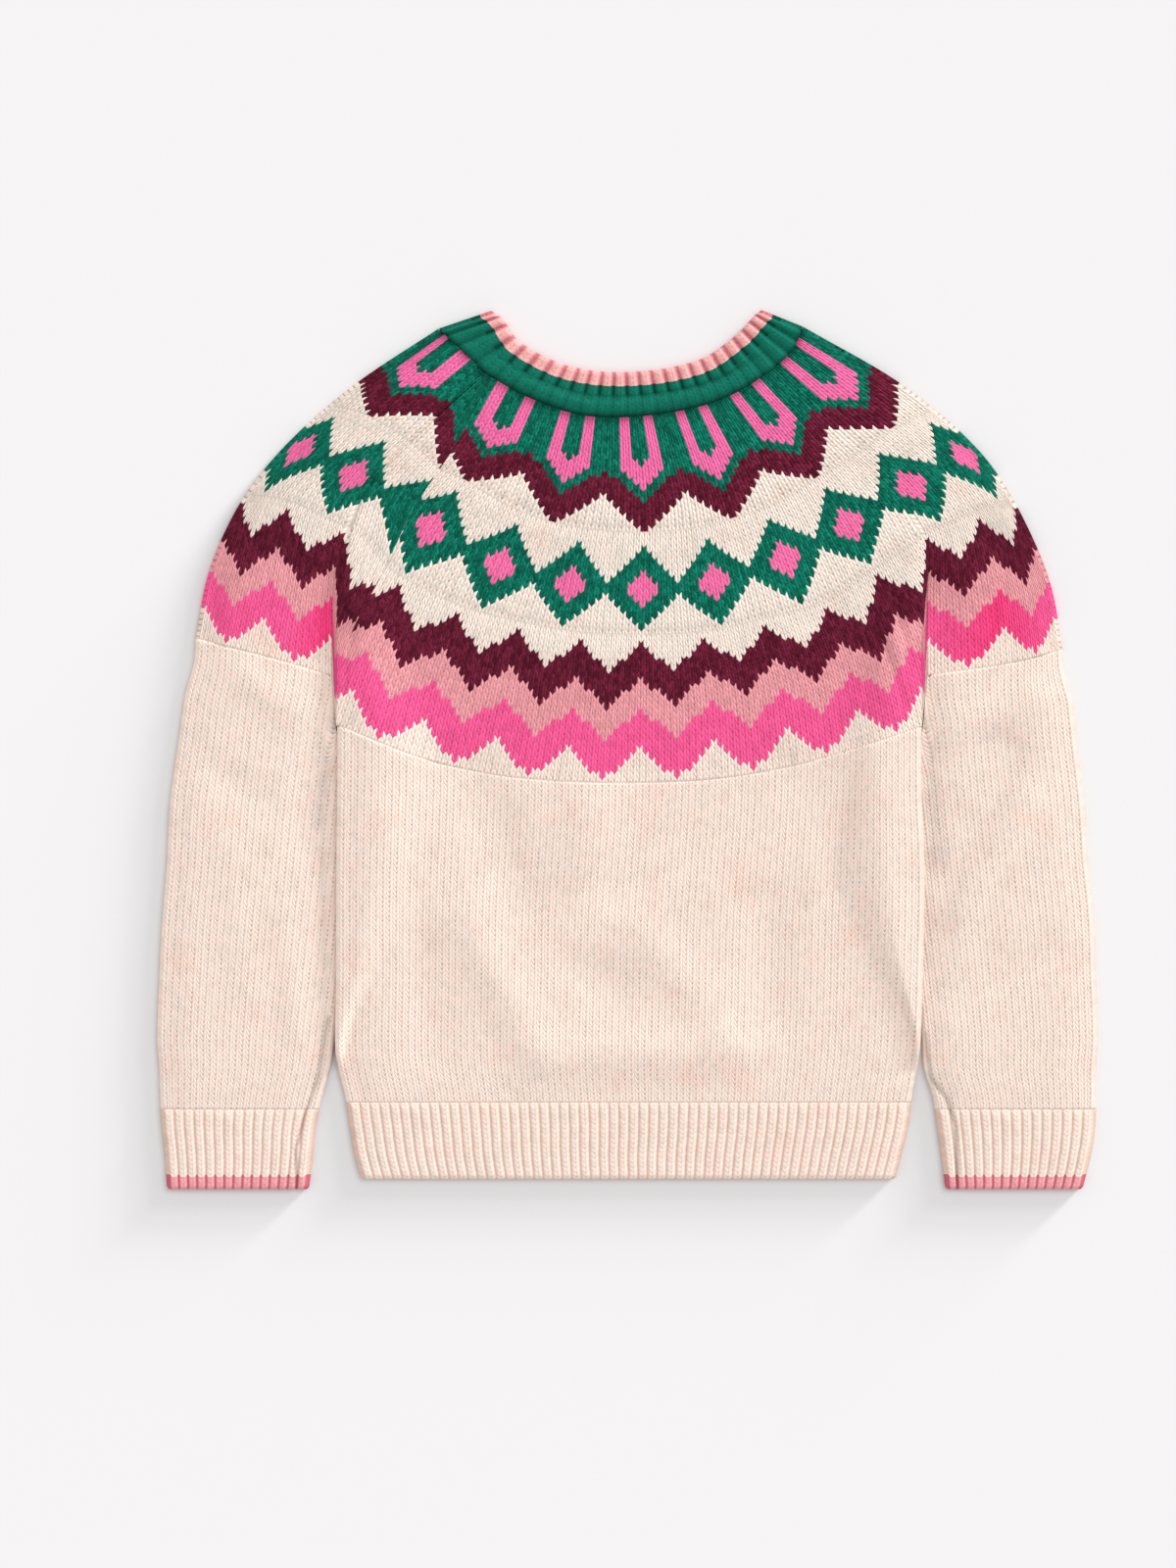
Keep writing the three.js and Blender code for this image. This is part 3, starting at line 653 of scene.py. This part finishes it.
def sleeve_swell(side, x, y):
    table = LEFT_SLEEVE if side < 0 else RIGHT_SLEEVE
    body_side = look_up(BODY_SIDES, 1 if side < 0 else 2, y)
    inner = np.maximum(side * body_side, side * look_up(table, 2, y))
    edge = np.minimum(side * look_up(table, 1, y) - side * x, side * x - inner)
    return swell(x, y, edge) * ease(CUFF_END - 12, CUFF_TOP + 30, y)


def make_sleeve(side, name):
    down = rising(96 * ROW_PARTS)[:, None]
    across, angles = folds(rising(SLEEVE_STITCHES * STITCH_PARTS), rising(28)[::-1])
    x, y = sleeve_at(side, across, down)
    y = y + SEAM_LAP * (down == 0)
    upper = angles == 0
    u = across * SLEEVE_STITCHES
    v = (YOKE_ROWS * ROW - y) / ROW
    # Painted light on the top row by the yoke's seam; painted shade in the seam under the arm and in the
    # hollows.
    groove = seam_groove(x, y) * upper
    grid = {"x": x, "y": y, "lift": sleeve_swell(side, x, y) * upper,
            "out_x": np.where(across < 0.5, side, -side) + 0 * x, "out_y": 0 * x, "angle": angles + 0 * x,
            "relief": (KNIT_RELIEF * seam_fade(stitch_height(u, v), down * 96) - groove) * upper,
            "shade": (1 + 0.08 * (down < 0.004) - 0.3 * groove) * hollow_shade(x, y)}
    return shell(name, grid, (u, v), wrap=True)


# Ribs

def rib_profile(phase, roundness=0.6):
    """Height of a rib, 0 in the groove at whole phases and 1 on the round ridge between."""
    return np.abs(np.sin(math.pi * phase)) ** roundness


def make_band(name, left_edge, right_edge, top, end, ribs, height, swelling):
    down = rising(36)[:, None]
    across, angles = folds(rising(ribs * 8), rising(ribs * 2)[::-1])
    y = mix(top, end, down)
    x = mix(left_edge(y) + OUTER, right_edge(y) - OUTER, across)
    upper = angles == 0
    start = ease(-0.02, 0.1, down)
    groove = seam_groove(x, y) * upper * (name != "hem_rib_cloth")
    profile = rib_profile(across * ribs) * (1 - ease(0.95, 1, down))
    relief = mix(0.6 * KNIT_RELIEF, height * profile, start)
    relief = (relief - groove) * upper - rounded_end((1 - down) * (top - end))
    # Painted shade in the seam under the arm and in a thin line along the band's top seam.
    shade = 1 - 0.35 * groove - 0.05 * np.exp(-((down - 0.01) / 0.02) ** 2) * upper
    grid = {"x": x, "y": y, "lift": swelling(x, y) * upper, "out_x": np.where(across < 0.5, -1, 1) + 0 * x,
            "out_y": 0 * x, "angle": angles + 0 * x, "relief": relief + 0 * x, "shade": shade}
    return shell(name, grid, (across * ribs, (top - y) / ROW), wrap=True)


def make_neckband():
    across, angles = folds(mix(-7, 7, rising(NECK_RIBS * 8)), mix(7, -7, rising(48)))
    spoke, angles = across[0], angles[0]
    foot_x, foot_y = on_spokes(BODY_SPOKES, np.clip(spoke, -5, 5), 0 * spoke)
    tip_x, tip_y = look_up(NECK_TIP, 1, spoke), look_up(NECK_TIP, 2, spoke)
    out_x, out_y = np.zeros_like(spoke), np.zeros_like(spoke)
    for side, table in ((-1, LEFT_SPOKES), (1, RIGHT_SPOKES)):
        past = side * spoke > 5
        sx, sy = sleeve_place(side, np.where(past, spoke, side * 5.0), 0 * spoke)
        foot_x, foot_y = np.where(past, sx, foot_x), np.where(past, sy, foot_y)
        ax, ay = table[0 if side < 0 else -1][1]
        bx, by = NECK_TIP[0 if side < 0 else -1][1:]
        length = math.hypot(bx - ax, by - ay)
        mine = side * spoke > 0
        out_x = np.where(mine, side * (by - ay) / length, out_x)
        out_y = np.where(mine, side * (ax - bx) / length, out_y)
    inset = OUTER * np.clip((np.abs(spoke) - 6.5) / 0.5, 0, 1)
    tip_x, tip_y = tip_x - out_x * inset, tip_y - out_y * inset
    low = np.where(angles > math.pi / 2, front_drop(spoke, 0), 0)
    length = np.hypot(tip_x - foot_x, tip_y - foot_y)[None, :]
    up = rising(48)[:, None]
    x = mix(foot_x[None, :], tip_x[None, :], up)
    y = mix(foot_y[None, :], tip_y[None, :], up) - low[None, :]
    run = up * length
    left = (1 - up) * length
    smooth = 1 - ease(3.4, 5.6, np.abs(spoke))[None, :]
    roll = np.sin(math.pi * np.clip((run - 1.2) / 11, 0, 1)) ** 0.6 * smooth
    ribbed = np.maximum(ease(9.5, 12.5, run), 1 - smooth)
    phase = (spoke[None, :] + 7) / 14 * NECK_RIBS
    upper = angles[None, :] == 0
    foot = np.exp(-(run / 2.0) ** 2)
    ribs = rib_profile(phase, 0.9) * ribbed * (0.25 + 0.75 * ease(0, 3, left))
    relief = (2.8 * roll + mix(2.2, 1.4, smooth) * ribs - 0.9 * foot) * upper - rounded_end(left)
    # Painted shade at the band's foot, in the seam under the roll, and along the line where the roll meets
    # the ribs.
    shade = 1 - (0.5 * foot + 0.35 * smooth * np.exp(-((run - 12.4) / 1.4) ** 2)) * upper
    grid = {"x": x, "y": y, "lift": 0 * x, "out_x": out_x[None, :] + 0 * x, "out_y": out_y[None, :] + 0 * x,
            "angle": angles[None, :] + 0 * x, "relief": relief + 0 * x, "shade": shade + 0 * x}
    return shell("neckband_cloth", grid, (phase, left), wrap=True)


# Shader maths

class Value:
    """Wraps a socket, so that shader maths reads as a Python expression."""

    def __init__(self, paint, socket):
        self.paint = paint
        self.socket = socket

    def maths(self, operation, other=0.0, clamp=False):
        settings = {"operation": operation, "use_clamp": clamp}
        return self.paint.node("ShaderNodeMath", settings, {0: self, 1: other})[0]

    def __add__(self, other):
        return self.maths("ADD", other)

    def __sub__(self, other):
        return self.maths("SUBTRACT", other)

    def __rsub__(self, other):
        return self.paint.node("ShaderNodeMath", {"operation": "SUBTRACT"}, {0: other, 1: self})[0]

    def __mul__(self, other):
        return self.maths("MULTIPLY", other)

    def __lt__(self, other):
        return self.maths("LESS_THAN", other)

    def __gt__(self, other):
        return self.maths("GREATER_THAN", other)

    __radd__ = __add__
    __rmul__ = __mul__

    def limited(self):
        return self.maths("ADD", 0.0, clamp=True)


class Paint:
    """Builds one material's nodes."""

    def __init__(self, name):
        self.material = bpy.data.materials.new(name)
        self.material.use_nodes = True
        self.tree = self.material.node_tree
        self.shader = self.tree.nodes["Principled BSDF"]

    def node(self, kind, settings=None, inputs=None):
        node = self.tree.nodes.new(kind)
        for key, value in (settings or {}).items():
            setattr(node, key, value)
        for key, value in (inputs or {}).items():
            self.feed(node.inputs[key], value)
        return [Value(self, s) for s in node.outputs]

    def feed(self, socket, value):
        if isinstance(value, Value):
            self.tree.links.new(value.socket, socket)
        else:
            socket.default_value = value

    def mix(self, factor, a, b, blend="MIX"):
        settings = {"data_type": "RGBA", "blend_type": blend, "clamp_factor": True}
        return self.node("ShaderNodeMix", settings, {0: factor, 6: a, 7: b})[2]

    def tint(self, colour, by, factor=1.0):
        return self.mix(factor, colour, by, "MULTIPLY")

    def level(self, colour, value):
        grey = self.node("ShaderNodeCombineColor", None, {0: value, 1: value, 2: value})[0]
        return self.tint(colour, grey)

    def uv(self):
        place = self.node("ShaderNodeUVMap", {"uv_map": "knit"})[0]
        u, v, _ = self.node("ShaderNodeSeparateXYZ", None, {0: place})
        return u, v

    def attribute(self, name):
        return self.node("ShaderNodeAttribute", {"attribute_name": name})[2]

    def vector(self, x, y):
        return self.node("ShaderNodeCombineXYZ", None, {0: x, 1: y, 2: 0.0})[0]

    def noise(self, vector, scale, detail=2.0, roughness=0.5):
        inputs = {"Vector": vector, "Scale": scale, "Detail": detail, "Roughness": roughness}
        return self.node("ShaderNodeTexNoise", {"noise_dimensions": "3D"}, inputs)[0]

    def random(self, x, y):
        place = self.vector(x, y)
        return self.node("ShaderNodeTexWhiteNoise", {"noise_dimensions": "2D"}, {"Vector": place})[0]

    def finish(self, colour, height, strength):
        # The colour is multiplied by the shade attribute, which holds the painted shade and painted light.
        self.feed(self.shader.inputs["Base Color"], self.level(colour, self.attribute("shade")))
        inputs = {"Height": height, "Strength": strength, "Distance": BUMP_DISTANCE}
        bump = self.node("ShaderNodeBump", None, inputs)[0]
        self.feed(self.shader.inputs["Normal"], bump)
        self.shader.inputs["Roughness"].default_value = 0.92
        self.shader.inputs["Specular IOR Level"].default_value = 0.0
        self.shader.inputs["Sheen Weight"].default_value = 0.015
        self.shader.inputs["Sheen Roughness"].default_value = 0.6
        return self.material


BUMP_DISTANCE = 0.0006
CREAM = (0.925, 0.768, 0.675, 1)
YOKE_CREAM = (0.90, 0.79, 0.70, 1)
GREEN = (0.006, 0.16, 0.105, 1)
NECK_GREEN = (0.008, 0.165, 0.11, 1)
MAROON = (0.135, 0.014, 0.034, 1)
DUSKY = (0.81, 0.33, 0.36, 1)
HOT_PINK = (0.93, 0.11, 0.306, 1)
PINK = (0.88, 0.158, 0.385, 1)
HEART_PINK = (0.91, 0.167, 0.39, 1)
NECK_PINK = (0.90, 0.43, 0.41, 1)
NECK_ROSE = (0.62, 0.2, 0.22, 1)
CUFF_PINK = (0.88, 0.38, 0.40, 1)
CUFF_ROSE = (0.6, 0.15, 0.19, 1)
# Painted shade in the hole above each V.
HOLE_SHADE = (0.55, 0.44, 0.42, 1)
WARM_FLECK = (1.0, 0.84, 0.80, 1)
GREY_FLECK = (0.93, 0.91, 0.88, 1)
# Painted shade in the grooves between ribs.
RIB_GROOVE_SHADE = (0.86, 0.75, 0.71, 1)


class Knit:
    """V stitches from a place in stitches across and rows down: the cells' numbers, the place in
    a cell, the height of the yarn and the hole above each V, which is darkened with painted shade."""

    def __init__(self, paint, u, v, rise=LEG_RISE, wander=0.12):
        drift = paint.noise(paint.vector(u * 0.31, v * 0.31), 1.0, 1.0) - 0.5
        self.u = u + drift * wander
        self.v = v - drift * (2 * wander)
        self.cell_u = self.u.maths("FLOOR")
        part = self.u - self.cell_u
        from_middle = (part - 0.5).maths("ABSOLUTE") * 2
        slant = self.v - rise * (1 - from_middle)
        self.cell_v = slant.maths("FLOOR")
        along = slant - self.cell_v
        leg = (part * (2 * math.pi)).maths("SINE").maths("ABSOLUTE")
        swelling = (along * math.pi).maths("SINE")
        self.height = leg.maths("POWER", 0.6) * (0.3 + 0.7 * swelling)
        self.leg_side = part > 0.5
        self.pick = paint.random(self.cell_u * 2 + self.leg_side, self.cell_v)
        stitch_pick = paint.random(self.cell_u, self.cell_v + 0.37)
        middle = ((0.52 - from_middle) * 2.4).limited()
        low = ((along - 0.5).maths("ABSOLUTE") * 4 - 1.0).limited()
        self.hole = middle * low * (0.25 + 0.9 * stitch_pick)
        self.fibre = paint.noise(paint.vector(self.u * 1.7, self.v * 2.6), 1.6, 3.0, 0.6)

    def yarn(self, paint, colour, holes=0.8, fleck=0.5):
        """Colour of the yarn with painted shade in its holes and between the legs, and leg to leg changes."""
        colour = paint.tint(colour, HOLE_SHADE, (self.hole * holes).limited())
        level = 1.0 - fleck * 0.2 + fleck * (0.18 * self.pick + 0.24 * self.fibre)
        return paint.level(colour, level * (0.9 + 0.1 * self.height))

    def marl(self, paint, colour):
        """Flecks of a cream yarn: warm and grey patches many stitches wide, and single legs."""
        patch = paint.noise(paint.vector(self.u * 0.12, self.v * 0.075), 1.0, 3.0, 0.62)
        colour = paint.tint(colour, WARM_FLECK, ((patch - 0.53) * 5).limited() * 0.6)
        colour = paint.tint(colour, GREY_FLECK, ((0.47 - patch) * 5).limited() * 0.8)
        return paint.tint(colour, WARM_FLECK, ((self.pick - 0.6) * 2.2).limited() * 0.5)


def plain_knit():
    paint = Paint("cream_knit")
    u, v = paint.uv()
    knit = Knit(paint, u, v)
    colour = knit.yarn(paint, knit.marl(paint, CREAM), 1.25, 0.8)
    return paint.finish(colour, knit.height + 0.5 * knit.fibre, 0.7)


def yoke_knit():
    """The charted pattern. d is the distance in stitches from the middle of a motif, and the
    bands of each zone are set by the row at d = 0 and by how far they slant in 6 stitches."""
    paint = Paint("yoke_knit")
    spoke, v = paint.uv()
    in_a = v < FIRST_DECREASE
    in_c = v > SECOND_DECREASE
    count = 9 - 3 * in_a + 3 * in_c
    knit = Knit(paint, spoke * count + 0.5, v, YOKE_RISE, 0.06)
    fuzz = paint.noise(paint.vector(knit.u * 0.9, knit.v * 1.2), 1.3, 3.0, 0.75)
    fuzzy = (1.9 * fuzz) * (0.75 + 0.5 * knit.pick)
    place = knit.cell_u.maths("ADD", 6.0).maths("FLOORED_MODULO", 12.0)
    d = (place - 6.0).maths("ABSOLUTE")
    row = knit.cell_v + 0.5

    def below(at_middle, slant):
        return row > (at_middle + d * (slant / 6))

    colour = knit.marl(paint, YOKE_CREAM)
    # Upper zone: green ground with pink hairpins, then maroon.
    maroon = in_a * (1 - below(19, -5.6))
    green = in_a * (1 - below(14, -5.3))
    outer = (d < 3.5) * (row < 12) * (1 - (row > (11.801 - d)) * (d > 0.5) * (row > 8.9))
    inner = ((d < 1.5) * (row < 7) + (d < 0.5) * (row > 7) * (row < 8)).limited()
    dark_red = paint.level(MAROON, fuzzy)
    dark_green = paint.level(GREEN, fuzzy)
    colour = paint.mix(maroon, colour, dark_red)
    colour = paint.mix(green, colour, dark_green)
    pinks = 1 - (paint.attribute("bare") > 0.02)
    colour = paint.mix(green * outer * (1 - inner) * pinks, colour, PINK)
    # Middle zone: green diamonds with a pink heart.
    in_b = (1 - in_a) * (1 - in_c)
    reach = (row - 28).maths("ABSOLUTE")
    colour = paint.mix(in_b * (reach < (6.9 - d)), colour, dark_green)
    colour = paint.mix(in_b * (reach < (3.1 - d)) * pinks, colour, HEART_PINK)
    # Lower zone: three zigzags.
    colour = paint.mix(in_c * below(37, 5.2), colour, dark_red)
    colour = paint.mix(in_c * below(43, 4.9), colour, DUSKY)
    hot = in_c * below(48, 4.8)
    colour = paint.mix(hot, colour, HOT_PINK)
    plain = in_c * below(53.8, 5.6)
    # Beside the pleat the cloth lies low, and its pink is made deeper there by painted shade and painted
    # reflection.
    left = spoke < 0
    reach = spoke.maths("ABSOLUTE")
    away = ((reach - (5.9 - 0.8 * left)).maths("ABSOLUTE") * (1.1 + 0.9 * left)).limited()
    colour = paint.tint(colour, (1.0, 0.5, 0.68, 1), hot * (1 - away) * (reach > 4.95))
    colour = paint.mix(plain, colour, knit.marl(paint, CREAM))
    colour = knit.yarn(paint, colour, 1.1, 1.2)
    return paint.finish(colour, knit.height + 0.5 * knit.fibre, 0.9)


def rib_ridge(paint, u):
    """1 over a rib's ridge and 0 in its groove, which lies at whole u."""
    part = u - u.maths("FLOOR")
    return ((part * math.pi).maths("SINE") * 1.9 - 0.35).limited()


def rib_knit(name, tip_from=None):
    """Cream ribs: one column of stitches on each ridge. tip_from is the row where a pink tip starts,
    which reaches a little higher in the grooves."""
    paint = Paint(name)
    u, v = paint.uv()
    knit = Knit(paint, u, v, 0.6)
    ridge = rib_ridge(paint, knit.u)
    # Painted shade darkens the grooves between ribs, on the cream and, in rose, in the pink tip.
    colour = paint.tint(knit.marl(paint, CREAM), RIB_GROOVE_SHADE, 1 - ridge)
    if tip_from is not None:
        tip = v > (tip_from - 0.5 + ridge * 0.5)
        pink = paint.mix(ridge, CUFF_ROSE, CUFF_PINK)
        colour = paint.mix(tip, colour, pink)
    colour = knit.yarn(paint, colour, 0.5, 0.8)
    return paint.finish(colour, knit.height * 0.6 + 0.35 * knit.fibre, 0.7)


def neck_knit():
    """Green ribs whose stitches also run up the smooth roll, and a salmon tip with rose grooves.
    v is the distance from the band's end."""
    paint = Paint("neck_knit")
    u, v = paint.uv()
    knit = Knit(paint, u * 2 + 0.5, v * (1 / ROW), 0.6)
    ridge = rib_ridge(paint, u)
    # Painted shade darkens the grooves between ribs: deeply in the green, slightly on the smooth roll, and in
    # rose in the salmon tip.
    green = paint.level(NECK_GREEN, 0.42 + 0.58 * ridge)
    pink = paint.mix((ridge * 1.6 - 0.6).limited(), NECK_ROSE, NECK_PINK)
    in_tip = v < (NECK_TIP_WIDTH - 0.6 + 0.6 * ridge)
    on_roll = (v > NECK_TIP_WIDTH + 5.2) * 1.0
    colour = paint.mix(on_roll, green, paint.level(NECK_GREEN, 0.85 + 0.15 * ridge))
    colour = paint.mix(in_tip, colour, pink)
    colour = knit.yarn(paint, colour, 0.6, 1.0)
    return paint.finish(colour, knit.height * 0.5 + 0.4 * knit.fibre, 0.7)


# Pieces

def dress(piece, material, slot, *nodes):
    piece.data.materials.append(material)
    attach(piece, "root")
    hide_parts(*nodes)
    return piece


def edge_of(table, index):
    return lambda y: look_up(table, index, y)


def hem_swell(x, y):
    return body_swell(x, y, look_up(BODY_SIDES, 1, y), look_up(BODY_SIDES, 2, y))


cream = plain_knit()
cuff_paint = rib_knit("cuff_rib", (CUFF_TOP - CUFF_END - CUFF_TIP_WIDTH) / ROW)
yoke = dress(make_yoke(), yoke_knit(), "yoke_knit", "yoke")
neckband = dress(make_neckband(), neck_knit(), "neck_knit", "neckband")
back = dress(make_body("back"), cream, "body_knit", "back")
front = dress(make_body("front"), cream, "body_knit", "front")
hem = dress(
    make_band("hem_rib_cloth", edge_of(BODY_SIDES, 1), edge_of(BODY_SIDES, 2),
              HEM_TOP, HEM_END, HEM_RIBS, 0.8, hem_swell),
    rib_knit("cream_rib"), "body_knit", "hem_rib",
)
sleeve_left = dress(make_sleeve(-1, "sleeve_left_cloth"), cream, "body_knit", "sleeve_left")
sleeve_right = dress(make_sleeve(1, "sleeve_right_cloth"), cream, "body_knit", "sleeve_right")
cuff_left = dress(
    make_band("cuff_left_cloth", edge_of(LEFT_SLEEVE, 1), edge_of(LEFT_SLEEVE, 2),
              CUFF_TOP, CUFF_END, CUFF_RIBS, 0.8, lambda x, y: sleeve_swell(-1, x, y)),
    cuff_paint, "cuff_knit", "cuff_left",
)
cuff_right = dress(
    make_band("cuff_right_cloth", edge_of(RIGHT_SLEEVE, 2), edge_of(RIGHT_SLEEVE, 1),
              CUFF_TOP, CUFF_END, CUFF_RIBS, 0.8, lambda x, y: sleeve_swell(1, x, y)),
    cuff_paint, "cuff_knit", "cuff_right",
)

# Floor, light and camera

PIXEL = 0.58333          # mm to a pixel of the 1200 x 1600 frame
FRAME_HEIGHT = 1600
LENS = 85
SENSOR = 36
CENTRE = (-23.6, -20.7)

bpy.ops.mesh.primitive_plane_add(size=12, location=(0, 0, 0))
floor = bpy.context.object
floor.name = "floor"
floor_paint = Paint("floor_paper")
floor_paint.shader.inputs["Base Color"].default_value = (0.735, 0.722, 0.728, 1)
floor_paint.shader.inputs["Roughness"].default_value = 1.0
floor_paint.shader.inputs["Specular IOR Level"].default_value = 0.0
floor.data.materials.append(floor_paint.material)
floor.select_set(False)


def sun(name, azimuth, elevation, spread, power):
    """Soft light from far away. azimuth is measured from +X to +Y, and spread is how wide it looks."""
    data = bpy.data.lights.new(name, "SUN")
    data.angle = math.radians(spread)
    data.energy = power
    light = bpy.data.objects.new(name, data)
    bpy.context.collection.objects.link(light)
    light.rotation_euler = (0, math.radians(90 - elevation), math.radians(azimuth))
    return light


sun("key", 48, 48, 34, 0.85)
sun("rake", 45, 10, 14, 2.6)
# This one lies very low and lights the floor only, for the wide soft shadow.
low = sun("low", 45, 4.5, 8, 5.0)
floor_only = bpy.data.collections.new("floor_only")
floor_only.objects.link(floor)
low.light_linking.receiver_collection = floor_only
world = bpy.data.worlds.new("studio")
bpy.context.scene.world = world
world.use_nodes = True
world.node_tree.nodes["Background"].inputs["Color"].default_value = (1, 1, 1, 1)
world.node_tree.nodes["Background"].inputs["Strength"].default_value = 0.79
bpy.context.scene.view_settings.view_transform = "Standard"

camera_data = bpy.data.cameras.new("camera")
camera_data.lens = LENS
camera_data.sensor_width = SENSOR
camera = bpy.data.objects.new("camera", camera_data)
bpy.context.collection.objects.link(camera)
camera.location = (CENTRE[0] * MM, CENTRE[1] * MM, PIXEL * FRAME_HEIGHT * MM * LENS / SENSOR + STACK * MM)
bpy.context.scene.camera = camera
